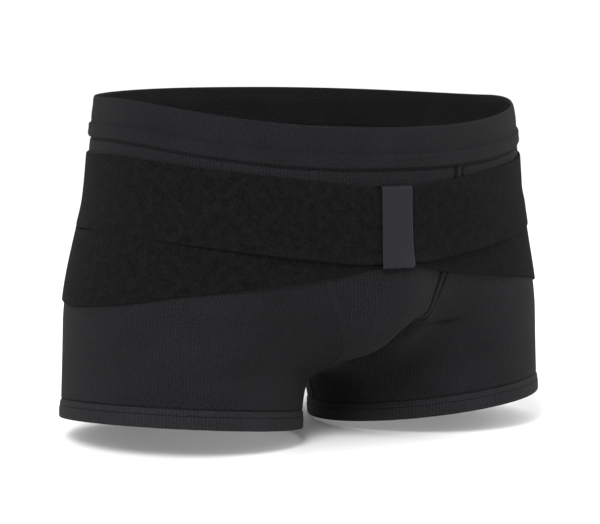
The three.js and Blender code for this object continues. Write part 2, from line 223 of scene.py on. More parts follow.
def outside_body(p):
    """The body is where this is below zero. p is an array of points."""
    x, y, z = p[..., 0], p[..., 1], p[..., 2]
    t = 1 - np.clip(1 + z / HIP_DROP, 0, 1) ** 2
    width, depth = mix(WAIST_WIDTH, HIP_WIDTH, t), mix(WAIST_DEPTH, HIP_DEPTH, t)
    below = np.maximum(0, TRUNK_ROUNDING - TRUNK_END_DROP - z)
    above = np.maximum(0, z + THIGH_TOP_DROP)
    parts = [
        outside(x, y, below, (width, depth, 2 * TRUNK_ROUNDING), TRUNK_SQUARENESS),
        outside(x, y + POUCH_FORWARD, z + POUCH_DROP, POUCH_SIZE),
    ]
    for side in (-1, 1):
        middle = side * (THIGH_SPACING / 2 - THIGH_SPLAY * (z + HEM_DROP))
        thigh = (THIGH_WIDTH, THIGH_DEPTH, 2 * THIGH_ROUNDING)
        parts.append(outside(x - middle, y + THIGH_FORWARD, above, thigh))
        cheek_x = x - side * CHEEK_SPACING / 2
        parts.append(outside(cheek_x, y - CHEEK_BACK, z + CHEEK_DROP, CHEEK_SIZE))
    return -BLEND * np.log(sum(np.exp(-d / BLEND) for d in parts))


def normals_at(p):
    """The way out of the body at each point."""
    steps = NORMAL_STEP * np.eye(3)
    change = [outside_body(p + step) - outside_body(p - step) for step in steps]
    n = np.stack(change, axis=-1)
    return n / np.linalg.norm(n, axis=-1, keepdims=True)


def raised(p, height):
    return p + normals_at(p) * np.asarray(height)[..., None]


def smoothstep(value, start, end):
    t = np.clip((value - start) / (end - start), 0, 1)
    return t * t * (3 - 2 * t)


def dent(distance, width):
    return np.exp(-((distance / width) ** 2))


def settled(p):
    """Moves points that lie near the body onto it."""
    for _ in range(SETTLE_ROUNDS):
        p = p - SETTLE_SHARE * outside_body(p)[..., None] * normals_at(p)
    return p


def leave(x, y, dx, dy, level):
    """Where walks from (x, y) along (dx, dy) leave the body. level gives each walk's height."""
    x, y, dx, dy = np.broadcast_arrays(*(np.asarray(v, float) for v in (x, y, dx, dy)))
    length = np.hypot(dx, dy)

    def at(r):
        px, py = x + dx / length * r, y + dy / length * r
        return np.stack([px, py, np.broadcast_to(level(px, py), px.shape)], axis=-1)

    out = np.full(np.broadcast(x, at(np.zeros_like(x))[..., 0]).shape, float(WALK_STEP))
    inside_still = outside_body(at(out)) < 0
    while inside_still.any():
        out = np.where(inside_still, out + WALK_STEP, out)
        inside_still = inside_still & (outside_body(at(out)) < 0)
    inside = out - WALK_STEP
    for _ in range(WALK_HALVINGS):
        middle = (inside + out) / 2
        is_out = outside_body(at(middle)) >= 0
        inside, out = np.where(is_out, inside, middle), np.where(is_out, middle, out)
    return at(out)


def underside(x, y):
    """The height of the body's underside between the legs."""
    inside, out = -THIGH_TOP_DROP, -HEM_DROP - THIGH_ROUNDING
    for _ in range(UNDERSIDE_HALVINGS):
        middle = (inside + out) / 2
        is_out = outside_body(np.array([x, y, middle], float)) >= 0
        inside, out = (inside, middle) if is_out else (middle, out)
    return out


# %% Lines round the garment
def waist_edge(x, y):
    sideways = np.abs(x) / np.maximum(np.hypot(x, y * WAIST_WIDTH / WAIST_DEPTH), 1e-9)
    ends = np.where(y < 0, -WAIST_FRONT_DROP, WAIST_BACK_RISE)
    return mix(ends, WAIST_SIDE_RISE, sideways**WAIST_SWEEP)


def waist_seam(x, y):
    return waist_edge(x, y) - BAND_HEIGHT


def hem_edge(x, y):
    return -HEM_DROP + HEM_RISE_OUTWARDS * (np.abs(x) - THIGH_SPACING / 2) - HEM_RISE_FORWARDS * y


def hem_seam(x, y):
    return hem_edge(x, y) + HEM_HEIGHT


FORK_FRONT, FORK_BACK = underside(GUSSET_FRONT_HALF, -GUSSET_FRONT), underside(0, GUSSET_BACK)


def fork(x, y):
    slope = (FORK_BACK - FORK_FRONT) / (GUSSET_BACK + GUSSET_FRONT)
    outwards = (HEM_RISE_OUTWARDS / 2) * (np.abs(x) - GUSSET_FRONT_HALF)
    return FORK_FRONT + slope * (y + GUSSET_FRONT) + outwards


def along(table, column, place):
    """Smooth values of a table's column at places between its rows."""
    keys, values = [r[0] for r in table], [r[column] for r in table]
    last = len(keys) - 1

    def slope(k):
        a, b = max(0, k - 1), min(last, k + 1)
        return (values[b] - values[a]) / (keys[b] - keys[a])

    def one(s):
        i = min(max(int(np.searchsorted(keys, s, side="left")) - 1, 0), last - 1)
        span = keys[i + 1] - keys[i]
        t = min(max((s - keys[i]) / span, 0), 1)
        rise, start, end = values[i + 1] - values[i], slope(i) * span, slope(i + 1) * span
        curve = start + (3 * rise - 2 * start - end) * t + (start + end - 2 * rise) * t * t
        return values[i] + t * curve

    return np.array([one(s) for s in np.ravel(place)]).reshape(np.shape(place))


print("fork at", round(FORK_FRONT, 1), "and", round(FORK_BACK, 1), "mm")

# %% [markdown]
# ## Folds and creases
#
# The form alone is too firm for worn cloth. Under the pouch the cloth is drawn into a deep fold,
# which is the darkest place in the photograph, and a crease runs from the foot of the seam out
# over the thigh. They could be modelled with a cloth simulation, but stretched knit hardly moves,
# so a push on the points near each place gives the same picture and repeats exactly.

# %% Folds and creases
FOLD = [  # places in mm, from the foot of the front seam down to the crotch
    (35, -98, -141), (28.5, -101.5, -149.5), (19.5, -102.3, -156.4), (16.8, -95.7, -162.3),
    (13.8, -83.1, -168.9), (11.7, -68.6, -173.9), (9.5, -55.1, -178.2), (7.1, -40.6, -182.6),
]
FOLD_SHAPE = ((11.0, 13.5), (9.0, 6.5))  # depth and half width in mm, of a wide and a sharp part
FOOT_CREASE = [
    (24, -101, -150.5), (40, -93, -149.8), (58.8, -87.4, -149.1), (71, -87.6, -148.3), (84, -88.5, -147),
]
CREASES = [  # places in mm along it, its depth and its half width
    (FOOT_CREASE, 2.8, 1.7),
    ([(30, -98, -156), (44, -86, -160), (60, -83, -161)], 0.9, 3.2),
    ([(-24, -104, -158), (-38, -88, -164), (-56, -82, -167), (-72, -84, -168)], 0.8, 3.5),
    ([(-30, -99, -150), (-46, -90, -152), (-66, -87, -150)], 0.6, 3.5),
    ([(24, 52, -176), (44, 70, -180), (66, 80, -182)], 1.0, 4.0),
    ([(-24, 52, -176), (-44, 70, -180), (-66, 80, -182)], 1.0, 4.0),
]
FOLD_FULL, CREASE_FULL = (0.26, 0.85), (0.1, 0.45)  # the share of the way where it is full
BANK_AWAY, BANK_WIDTH, BANK_SHARE = 2.2, 1.3, 0.35  # of the bank beside a crease, as shares of it


def points_at(places, lengths, line):
    """Points of a line at new places. lengths gives the place of each of its own points."""
    return np.stack([np.interp(places, lengths, line[:, k]) for k in range(3)], axis=-1)


def along_path(p, places):
    """How far each point is from a path, and how far along it that is, from 0 to 1."""
    knots = np.array(places, float)
    nearest, place = np.full(p.shape[:-1], np.inf), np.zeros(p.shape[:-1])
    for k, (a, b) in enumerate(zip(knots[:-1], knots[1:])):
        t = np.clip(((p - a) @ (b - a)) / ((b - a) @ (b - a)), 0, 1)
        distance = np.linalg.norm(p - (a + t[..., None] * (b - a)), axis=-1)
        closer = distance < nearest
        nearest = np.where(closer, distance, nearest)
        place = np.where(closer, (k + t) / (len(knots) - 1), place)
    return nearest, place


def fading(place, full):
    """1 between two shares of the way, falling to 0 at both of its ends."""
    return smoothstep(place, 0, full[0]) * (1 - smoothstep(place, full[1], 1))


def folded(p):
    """Points after the cloth has been drawn into the fold under the pouch."""
    distance, place = along_path(p, FOLD)
    ways = -normals_at(np.array(FOLD, float))
    way = points_at(place, np.linspace(0, 1, len(FOLD)), ways)
    depth = sum(d * dent(distance, width) for d, width in FOLD_SHAPE)
    return p + way * (fading(place, FOLD_FULL) * depth)[..., None]


def creased(p):
    """How far in the cloth lies at each point, in mm."""
    total = np.zeros(p.shape[:-1])
    for places, depth, half_width in CREASES:
        distance, place = along_path(p, places)
        bank = dent(distance - BANK_AWAY * half_width, BANK_WIDTH * half_width)
        shape = dent(distance, half_width) - BANK_SHARE * bank
        total += depth * fading(place, CREASE_FULL) * shape
    return total


# %% [markdown]
# ## Making a sheet of cloth
#
# A knitted panel is a thin shell: an outer face, an inner face and a rolled edge between them.
# It could be a plane with a Solidify modifier. Here both faces come straight from grids of
# points, because then the thickness can change: it dips at a seam, swells between two rows of
# stitches and rounds off at an edge. Each grid also carries how many metres along and across the
# cloth a point lies, which the knit patterns read.


# %% Sheets of cloth
def spaced(length, coarse, fine, reach, fine_ends=(True, True)):
    """Places from 0 to length in mm, close together within reach of the ends that say so."""
    start = list(np.arange(0, reach, fine)) if fine_ends[0] else [0.0]
    end = list(length - np.arange(0, reach, fine)[::-1]) if fine_ends[1] else [length]
    gap = end[0] - start[-1]
    count = max(1, int(round(gap / coarse)))
    return np.array(start[:-1] + list(np.linspace(start[-1], end[0], count + 1)) + end[1:])


def arc_lengths(lines):
    """mm along each line, at each of its points."""
    steps = np.linalg.norm(np.diff(lines, axis=1), axis=-1)
    return np.concatenate([np.zeros((len(lines), 1)), np.cumsum(steps, axis=1)], axis=1)


def respaced(lines, places_of):
    """The same lines with points at new places, which places_of gives from a line's length."""
    pairs = zip(lines, arc_lengths(lines))
    return np.array([points_at(places_of(lengths[-1]), lengths, line) for line, lengths in pairs])


def shell(name, outer, inner, u, v, material, slot="black_knit", node=None, closed=False):
    """A closed skin over two grids of points in mm. u and v are the cloth's own mm."""
    rows, columns = outer.shape[:2]
    count = rows * columns
    r, c = np.meshgrid(np.arange(rows), np.arange(columns + (1 if closed else 0)), indexing="ij")
    ids = r * columns + c % columns
    uv = np.stack([np.broadcast_to(u, ids.shape), np.broadcast_to(v, ids.shape)], axis=-1) * MM

    def quads(a):
        corners = np.stack([a[:-1, :-1], a[:-1, 1:], a[1:, 1:], a[1:, :-1]], axis=2)
        return corners.reshape(-1, 4, *a.shape[2:])

    faces, coordinates = [quads(ids), quads(ids)[:, ::-1] + count], [quads(uv), quads(uv)[:, ::-1]]
    edges = [(ids[0], uv[0], 1), (ids[-1], uv[-1], -1)]
    if not closed:
        edges += [(ids[:, 0], uv[:, 0], -1), (ids[:, -1], uv[:, -1], 1)]
    for edge, edge_uv, order in edges:
        edge_faces = np.stack([edge[1:], edge[:-1], edge[:-1] + count, edge[1:] + count], 1)
        edge_uvs = np.stack([edge_uv[1:], edge_uv[:-1], edge_uv[:-1], edge_uv[1:]], 1)
        faces.append(edge_faces[:, ::order])
        coordinates.append(edge_uvs[:, ::order])
    faces, coordinates = np.concatenate(faces), np.concatenate(coordinates)
    points = folded(np.concatenate([outer.reshape(-1, 3), inner.reshape(-1, 3)])) * MM
    a, b, c, d = (points[faces[:, k]] for k in range(4))
    volume = np.einsum("ij,ij->i", a, np.cross(b, c) + np.cross(c, d)).sum()
    if volume < 0:  # the faces look inwards
        faces, coordinates = faces[:, ::-1], coordinates[:, ::-1]
    return mesh_piece(name, points, faces, material, node, coordinates)


def cloth(name, feet, outer, inner, u, v, material, side=1, **rest):
    """A shell between two heights over places on the body, mirrored where side is -1."""
    grids = [raised(feet, height) * np.array([side, 1, 1]) for height in (outer, inner)]
    return shell(name, *grids, u, v, material, **rest)


def mesh_piece(name, points, faces, material, node=None, coordinates=None):
    """A smooth mesh in metres. node is the solid that it stands for."""
    mesh = bpy.data.meshes.new(name)
    mesh.from_pydata(points.tolist(), [], faces.tolist())
    mesh.polygons.foreach_set("use_smooth", np.ones(len(mesh.polygons), bool))
    if coordinates is not None:
        layer = mesh.uv_layers.new(name="cloth")
        layer.data.foreach_set("uv", coordinates.reshape(-1))
    mesh.materials.append(material)
    piece = bpy.data.objects.new(name, mesh)
    bpy.context.collection.objects.link(piece)
    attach(piece, "root")
    if node:
        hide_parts(node)
    return piece


def rounding(distance, radius):
    """0 at an edge and 1 further in, on a quarter circle."""
    return np.sqrt(1 - (1 - np.clip(distance / radius, 0, 1)) ** 2)


# %% [markdown]
# ## Rib knit
#
# The trunks are a fine rib knit of cotton, modal or polyamide with elastane, dyed black. Its ribs
# run down the body about 2.3 mm apart. That gives the eye a faint upright grain, a matt face and
# a lighter bloom where the cloth turns away, because the fibre ends catch the light. Its colour
# follows its relief, so the valleys between the ribs carry painted shade. A woven
# texture picture could do it, but a wave on the cloth's own millimetres stays sharp anywhere.

# %% Rib knit
RIB_PITCH = 2.3
COURSE_PITCH = 1.5  # the real rows of loops are about 0.9 mm apart, too fine for the picture
RIB_WANDER = 0.3  # pitches
COURSE_SHARE, FIBRE_SHARE, PATCH_SHARE = 0.3, 2.4, 0.6  # weights beside that of the ribs, 1
# The colour darkens with the relief: painted shade in the valleys between ribs and rows, mixed with the
# real fibre grain.
KNIT_RELIEF = (0.95, 2.1)  # the relief that is darkest, and the one that is lightest
KNIT_LOOKS = {
    "Roughness": 0.85, "Specular IOR Level": 0.08, "Sheen Roughness": 0.35, "Sheen Tint": linear(0xB8B8C0),
}


def cloth_scale(material, pitch_u, pitch_v):
    """The cloth's own coordinates, counted in pitches across and along."""
    places = add(material, "UVMap", uv_map="cloth")
    scale = (1 / (pitch_u * MM), 1 / (pitch_v * MM), 1)
    return add(material, "Mapping", {"Vector": places.outputs["UV"], "Scale": scale}).outputs["Vector"]


def noise(material, places, scale, detail, roughness=0.5, output="Fac"):
    inputs = {"Vector": places, "Scale": scale, "Detail": detail, "Roughness": roughness}
    return add(material, "TexNoise", inputs).outputs[output]


def wave(material, place):
    """Rises and falls once in each pitch."""
    return add(material, "Math", {0: place, 1: 0.5}, operation="PINGPONG").outputs[0]


def weighted(material, value, weight, rest):
    """The value times its weight, plus the rest."""
    return add(material, "Math", {0: value, 1: weight, 2: rest}, operation="MULTIPLY_ADD").outputs[0]


def ranged(material, value, darkest, lightest):
    inputs = {"Value": value, "From Min": darkest, "From Max": lightest}
    return add(material, "MapRange", inputs).outputs["Result"]


def colour_and_relief(material, shader, shade, dark, light, relief, depth):
    """Mixes two colours by the shade, and turns the relief into bumps of a depth in mm."""
    inputs = {"Factor": shade, "A": linear(dark), "B": linear(light)}
    colour = add(material, "Mix", inputs, data_type="RGBA")
    bump = add(material, "Bump", {"Height": relief, "Distance": depth * MM, "Strength": 1.0})
    material.node_tree.links.new(colour.outputs["Result"], shader.inputs["Base Color"])
    material.node_tree.links.new(bump.outputs["Normal"], shader.inputs["Normal"])


def knit_material(name, dark, light, rib_pitch, rib_depth, sheen):
    material, shader = new_material(name, {**KNIT_LOOKS, "Sheen Weight": sheen})
    pitches = cloth_scale(material, rib_pitch, COURSE_PITCH)
    wobble = noise(material, pitches, 0.3, 2.0, output="Color")
    inputs = {0: wobble, 1: (RIB_WANDER,) * 3, 2: pitches}
    moved = add(material, "VectorMath", inputs, operation="MULTIPLY_ADD")
    split = add(material, "SeparateXYZ", {"Vector": moved.outputs["Vector"]})
    ribs, courses = (wave(material, split.outputs[axis]) for axis in "XY")
    loops = weighted(material, courses, COURSE_SHARE, ribs)
    fibre = noise(material, pitches, 1.0, 4.0, 0.75)
    relief = weighted(material, fibre, FIBRE_SHARE, loops)
    # Painted shade: the colour is darkest where the relief is lowest, in the valleys between the ribs.
    grain_and_valley_shade = ranged(material, relief, *KNIT_RELIEF)
    patches = noise(material, pitches, 0.05, 3.0)
    shade = weighted(material, patches, PATCH_SHARE, grain_and_valley_shade)
    colour_and_relief(material, shader, shade, dark, light, relief, rib_depth)
    return material


rib_knit = knit_material("black rib knit", 0x030304, 0x1D1D1F, RIB_PITCH, 0.55, 0.02)
# The hem uses the rib knit with lighter colours: painted light on the folded hem, which would otherwise
# read darker than its lit fold.
hem_knit_painted_lighter = knit_material("black rib knit of the hem, painted lighter", 0x060607, 0x242426, RIB_PITCH, 0.4, 0.03)
seam_knit = knit_material("cover thread of the flat seams", 0x0A0A0B, 0x1C1C1E, 1.2, 0.3, 0.03)
band_knit = knit_material("folded jersey over elastic", 0x020203, 0x1C1C1E, 1.6, 0.5, 0.02)
thread_looks = {"Base Color": linear(0x050506), "Roughness": 0.7, "Specular IOR Level": 0.08}
thread, _ = new_material("black polyester thread", thread_looks)
print("materials:", [m.name for m in bpy.data.materials if m.users])

# %% [markdown]
# ## Leg panels
#
# Each leg is one knitted panel, from the front seam round the hip to the middle of the back, and
# down to the hem. On the body form its rows are level lines, each walked outwards from the middle
# of the leg. The cloth thins where it is sewn, so both edges dip into the seam.

# %% Rows of a leg panel
PANEL_STEP, FINE_STEP, FINE_REACH = 1.5, 0.7, 5.0
ROW_POINTS, ROW_EASE = 240, 1.25  # the points stand closer together near the front seam


def rise_level(down):
    return lambda x, y: mix(waist_seam(x, y) - SEAM_GAP / 2, fork(x, y), down)


def leg_level(down):
    return lambda x, y: mix(fork(x, y), hem_seam(x, y) + SEAM_GAP / 2, down)


def seam_half(down):
    return POUCH_TOP_HALF * along(POUCH_SEAM, 1, down)


def rise_rows(down):
    """Level, middle, front end and back end of the rows between the waist seam and the fork."""
    t = 1 - (1 - down) ** (1 / ROW_CROWDING)
    middle = mix(PANEL_MIDDLE_TOP, PANEL_MIDDLE_FORK, t) * THIGH_SPACING / 2
    level = rise_level(down)
    front = leave(seam_half(down) + SEAM_GAP / 2, 0, 0, -1, level)
    return rise_level(down[:, None]), middle, front, leave(SEAM_GAP / 2 + 0 * down, 0, 0, 1, level)


def leg_rows(down):
    """The same for the rows between the fork and the hem."""
    middle = mix(PANEL_MIDDLE_FORK, 1, down) * THIGH_SPACING / 2
    level = leg_level(down)
    front = leave(middle, 0, -GUSSET_REACH * middle, -mix(GUSSET_FRONT, GUSSET_HEM_FRONT, down), level)
    behind = leave(middle, 0, -GUSSET_REACH * middle, mix(GUSSET_BACK, GUSSET_HEM_BACK, down), level)
    return leg_level(down[:, None]), middle, front, behind


def row_points(rows):
    """Points along each row, walked outwards from its middle."""
    level, middle, front, behind = rows
    turns = [np.arctan2(p[:, 0] - middle, -p[:, 1]) for p in (front, behind)]
    turns[1] = np.where(turns[1] < 0, turns[1] + 2 * math.pi, turns[1])
    angle = mix(turns[0][:, None], turns[1][:, None], np.linspace(0, 1, ROW_POINTS + 1) ** ROW_EASE)
    lines = leave(middle[:, None], 0 * angle, np.sin(angle), -np.cos(angle), level)
    lines[:, 0], lines[:, -1] = front, behind
    return lines


def middle_of(lines, ids):
    """mm along each line, counted from the point of it that ids names."""
    lengths = arc_lengths(lines)
    return lengths - lengths[np.arange(len(lines)), ids][:, None]


# %% Leg panels
RISE_LENGTH, LEG_LENGTH = 150, 18  # mm, roughly, to the fork and on to the hem
SEWN_THINNING, SEWN_REACH = 0.9, 2.2  # mm
SEAM_GROOVES = {"left": (4.2, 1.15), "right": (3.0, 0.3)}  # half width and depth in mm
GROOVE_BANK = (-0.9, 0.7)  # mm from the half width to the bank's start and end
GROOVE_LOSS, GROOVE_FULL_TO = 0.8, 0.85  # it is shallow along the gusset

rise_down = spaced(RISE_LENGTH, PANEL_STEP, FINE_STEP, FINE_REACH, (True, False)) / RISE_LENGTH
leg_down = spaced(LEG_LENGTH, PANEL_STEP, FINE_STEP, FINE_REACH, (False, True))[1:] / LEG_LENGTH
half_lines = np.concatenate([row_points(rise_rows(rise_down)), row_points(leg_rows(leg_down))])
longest = arc_lengths(half_lines)[:, -1].max()
panel_places = spaced(longest, PANEL_STEP, FINE_STEP, FINE_REACH)


def panel_spacing(length):
    """The same number of places on each row, with the fine ones kept fine."""
    fine = panel_places[panel_places < FINE_REACH]
    middle_count = len(panel_places) - 2 * len(fine)
    coarse = np.linspace(fine[-1], length - fine[-1], middle_count + 2)
    return np.concatenate([fine[:-1], coarse, length - fine[:-1][::-1]])


panel_lines = settled(respaced(half_lines, panel_spacing))
from_front = arc_lengths(panel_lines)
from_back = from_front[:, -1:] - from_front
# Ribs run down from the hip, so mm across the cloth are counted from the outermost points.
panel_u = middle_of(panel_lines, np.argmax(panel_lines[..., 0], axis=1))
panel_v = arc_lengths(panel_lines.swapaxes(0, 1)).T


def cloth_height(*edges):
    """How far the outer face stands off the body, from the distances to the sewn edges."""
    height = KNIT_WALL + 0 * edges[0]
    for distance in edges:
        height = height - SEWN_THINNING * (1 - rounding(distance, SEWN_REACH))
    return height


def seam_groove(distance, side_name):
    """How much lower the panel lies under a front seam, from the distance to its middle."""
    half_width, depth = SEAM_GROOVES[side_name]
    start, end = (half_width + bank for bank in GROOVE_BANK)
    return depth * (1 - smoothstep(distance, start, end))


rows_down = np.arange(len(panel_lines)) / (len(rise_down) - 1)
groove_fade = (1 - GROOVE_LOSS * smoothstep(rows_down, GROOVE_FULL_TO, 1))[:, None]
for side_name, side in SIDES:
    fall_in = creased(panel_lines * [side, 1, 1])
    groove = seam_groove(from_front, side_name) * groove_fade
    height = cloth_height(from_back, panel_v) - fall_in - groove
    cloth(
        f"{side_name}_leg_cloth", panel_lines, height, -fall_in, panel_u, -panel_v, rib_knit, side,
        node=f"{side_name}_leg_panel",
    )
    print(side_name, "panel", panel_lines.shape[:2])

# %% [markdown]
# ## Front panel
#
# The front panel is one piece, shaped to a soft pouch: wide at the waistband and narrow where it
# meets the gusset. Its rows run level from seam to seam across the front, and the last one is
# settled on the body so that it closes against the gusset.

# %% Front panel
POUCH_COUNT, BENT_ROWS = 61, 12
seam_edge = leave(seam_half(rise_down) + SEAM_GAP / 2, 0, 0, -1, rise_level(rise_down))
pouch_half = seam_edge[:, 0] - SEAM_GAP
sweep = np.linspace(-1, 1, POUCH_COUNT)
pouch_lines = leave(pouch_half[:, None] * sweep, 0, 0, -1, rise_level(rise_down[:, None]))
# The last row is a straight line, settled on the body, and the rows above it bend towards it.
straight = np.tile(seam_edge[-1] - [0, SEAM_GAP / 2, 0], (POUCH_COUNT, 1))
straight[:, 0] = pouch_half[-1] * sweep
shift = settled(straight) - pouch_lines[-1]
for k in range(BENT_ROWS):
    pouch_lines[-1 - k] += shift * (1 - k / BENT_ROWS) ** 2
pouch_lines = settled(pouch_lines)
pouch_lengths = arc_lengths(pouch_lines)
pouch_u = middle_of(pouch_lines, np.full(len(pouch_lines), POUCH_COUNT // 2))
pouch_v = arc_lengths(pouch_lines.swapaxes(0, 1)).T
pouch_groove = seam_groove(pouch_lengths, "right")
pouch_groove = pouch_groove + seam_groove(pouch_lengths[:, -1:] - pouch_lengths, "left")
pouch_height = cloth_height(pouch_v, pouch_v[-1:] - pouch_v)
pouch_height = pouch_height - pouch_groove * groove_fade[: len(pouch_lines)]
pouch = cloth(
    "front_cloth", pouch_lines, pouch_height, 0, pouch_u, -pouch_v, rib_knit, node="front_pouch"
)
print("pouch", pouch_lines.shape[:2])

# %% [markdown]
# ## Gusset
#
# A narrow piece runs from one hem up the inside of the leg, over the crotch and down to the other
# hem, so that no thick crossing of seams sits between the legs. Its lines from front to back are
# straight before they settle on the body.

# %% Gusset
GUSSET_COUNT, CROTCH_LINES = 40, 8
gusset_ends = zip(rise_rows(np.array([1.0]))[2:], leg_rows(leg_down)[2:])
gusset_edges = [np.concatenate(ends) for ends in gusset_ends]  # the front one and the back one
top_steps = np.linspace(0, 1, CROTCH_LINES + 1)[1:, None]


def to_middle(ends):
    """The ends of one side's lines, from the hem up and on to the middle of the crotch."""
    return np.concatenate([ends[::-1], mix(ends[:1], ends[:1] * [0, 1, 1], top_steps)])


def both_sides(ends):
    return np.concatenate([ends, (ends * [-1, 1, 1])[-2::-1]])


front_ends = both_sides(to_middle(gusset_edges[0] + [0, SEAM_GAP / 2, 0]))
behind_ends = both_sides(to_middle(gusset_edges[1] - [0, SEAM_GAP / 2, 0]))
across = np.linspace(0, 1, GUSSET_COUNT + 1)[None, :, None]
gusset_lines = settled(mix(front_ends[:, None], behind_ends[:, None], across))
gusset_lengths = arc_lengths(gusset_lines)
gusset_u = arc_lengths(gusset_lines[None, :, GUSSET_COUNT // 2])[0][:, None]
gusset_height = cloth_height(gusset_lengths, gusset_lengths[:, -1:] - gusset_lengths)
gusset = cloth(
    "gusset_cloth", gusset_lines, gusset_height, 0, gusset_lengths, gusset_u, rib_knit,
    node="crotch_gusset",
)
print("gusset", gusset_lines.shape[:2])

# %% [markdown]
# ## Flat seams and stitches
#
# Where two panels meet they are joined with a flat seam: two needles sew a narrow strip of cover
# threads over the butted edges. The far one shows as a light strip between two dark rows, whose
# darkness is partly painted shade from its crowded black stitches. The strip is a low mesh with a
# furrow under each row, and each stitch is its own short piece of thread, because thread catches
# the light and a groove does not.

# %% Strips and stitches along a line
STITCH_PITCH, STITCH_LENGTH, THREAD_RADIUS, FINE_THREAD = 2.9, 2.5, 0.4, 0.24
THREAD_RINGS = ((-0.5, 0.35), (-0.38, 1), (0.38, 1), (0.5, 0.35))  # shares of length and radius
THREAD_SIDES = 6
THREAD_ENDS = [(3, 2, 1, 0), (5, 4, 3, 0), (18, 19, 20, 21), (18, 21, 22, 23)]  # points of its faces
SEAM_STEP = 1.0
STRIP_POINTS, STRIP_RISE, STRIP_ROUNDING, STRIP_SUNK, STRIP_WALL = 15, 0.55, 0.7, 0.1, 0.8
FURROW_IN, RIPPLE_IN, RIPPLE = 1.3, 1.4, 0.08  # mm in from the strip's edges, and its height
SINK_DEPTH, SINK_REST = 1.6, 0.3  # mm, and the share of the sinking end that lies deepest


def side_of(line, n):
    """The direction across a line of points, in the cloth's plane."""
    ahead = np.gradient(line, axis=0)
    across_line = np.cross(ahead, n)
    return across_line / np.linalg.norm(across_line, axis=-1, keepdims=True)


def even_line(line, step):
    """The line with points at even steps."""
    length = arc_lengths(line[None])[0]
    places = np.linspace(0, length[-1], max(2, int(round(length[-1] / step)) + 1))
    return points_at(places, length, line)


def flat_seam(name, line, width, furrow, rows_in=(0.95,), side=1, sinks_over=0.0):
    """Makes a strip of cover threads along a line on the body, and gives its rows of stitches.

    rows_in says how far each row of stitches lies from the strip's edges, and sinks_over how
    long the end is that goes down under the next piece, in mm.
    """
    line = settled(even_line(line, SEAM_STEP))
    across_line = side_of(line, normals_at(line))
    rows_mm = arc_lengths(line[None])[0][:, None]
    shares = np.linspace(-0.5, 0.5, STRIP_POINTS)
    places = shares * width
    feet = settled(line[:, None] + across_line[:, None] * places[None, :, None])
    edge = (0.5 - np.abs(shares)) * width
    furrows = furrow * dent(edge - FURROW_IN, 0.5 + 0.5 * furrow)
    height = STRIP_RISE * rounding(edge, STRIP_ROUNDING) - furrows - STRIP_SUNK
    ripple = RIPPLE * np.sin(rows_mm * 2 * math.pi / STITCH_PITCH)
    tall = KNIT_WALL + height[None] + ripple * (edge > RIPPLE_IN)[None]
    if sinks_over:
        start, end = rows_mm[-1] - sinks_over, rows_mm[-1] - SINK_REST * sinks_over
        tall = tall - SINK_DEPTH * smoothstep(rows_mm, start, end)
    under = np.minimum(KNIT_WALL, tall) - STRIP_WALL
    cloth(name, feet, tall, under, places[None], rows_mm, seam_knit, side)
    aside = [sign * (width / 2 - row) for sign in (-1, 1) for row in rows_in]
    return [settled(line + across_line * distance) for distance in aside]


def stitches(name, lines, lift, sides=(1,), radius=THREAD_RADIUS):
    """Short pieces of thread along lines on the body, in one mesh."""
    turn = np.linspace(0, 2 * math.pi, THREAD_SIDES, endpoint=False)
    per_stitch = len(THREAD_RINGS) * THREAD_SIDES
    start = np.arange(per_stitch - THREAD_SIDES)
    after = start + 1 - THREAD_SIDES * (start % THREAD_SIDES == THREAD_SIDES - 1)
    tube = np.stack([start, after, after + THREAD_SIDES, start + THREAD_SIDES], axis=-1)
    one_stitch = np.concatenate([tube, THREAD_ENDS])
    points, faces = [], []
    for line in lines:
        length = arc_lengths(line[None])[0]
        middles = np.arange(STITCH_PITCH / 2, length[-1] - STITCH_PITCH / 4, STITCH_PITCH)
        at, later = (points_at(middles + further, length, line) for further in (0, 0.5))
        ahead = (later - at) / np.maximum(np.linalg.norm(later - at, axis=-1, keepdims=True), 1e-9)
        n = normals_at(at)
        cross = np.cross(ahead, n)
        spot = at + n * (lift + 0.1)
        round_it = np.cos(turn)[None, :, None] * cross[:, None] + np.sin(turn)[None, :, None] * n[:, None]
        rings = [
            spot[:, None] + ahead[:, None] * (share * STITCH_LENGTH) + radius * size * round_it
            for share, size in THREAD_RINGS
        ]
        for side in sides:
            first = sum(len(p) for p in points) + np.arange(len(spot)) * per_stitch
            points.append(folded(np.stack(rings, axis=1).reshape(-1, 3) * np.array([side, 1, 1])))
            faces.append((first[:, None, None] + one_stitch).reshape(-1, 4)[:, ::side])
    points, faces = np.concatenate(points), np.concatenate(faces)
    mesh_piece(name, points * MM, faces, thread)
    print(name, len(points) // per_stitch, "stitches")


# %% Front seams
SEAM_SINKS_OVER, STITCHES_STOP = 16, 14  # mm from the seam's lower end
# The left seam lies in the groin and is drawn in, so it is wider and its furrows are deeper. Its three
# close rows of black stitches on each side are real stitches, and in part painted shade that darkens the
# seam.
FRONT_SEAMS = [  # side, which way x runs, end, width, furrow depth, rows of stitches, thread height
    ("left", 1, 0.8, 8.4, 1.2, (0.6, 1.4, 2.2), -0.35),
    ("right", -1, 0.985, 6.0, 0.25, (0.95,), -0.2),
]
for side_name, side, seam_end, seam_width, furrow, rows_in, thread_lift in FRONT_SEAMS:
    seam_down = np.linspace(0.0, seam_end, 120)
    seam_line = leave(seam_half(seam_down), 0, 0, -1, rise_level(seam_down))
    seam_name = f"{side_name}_front_seam"
    rails = flat_seam(seam_name, seam_line, seam_width, furrow, rows_in, side, SEAM_SINKS_OVER)
    rails = [rail[: -int(STITCHES_STOP / SEAM_STEP)] for rail in rails]
    stitches(f"{side_name}_front_stitches", rails, KNIT_WALL + thread_lift, (side,))

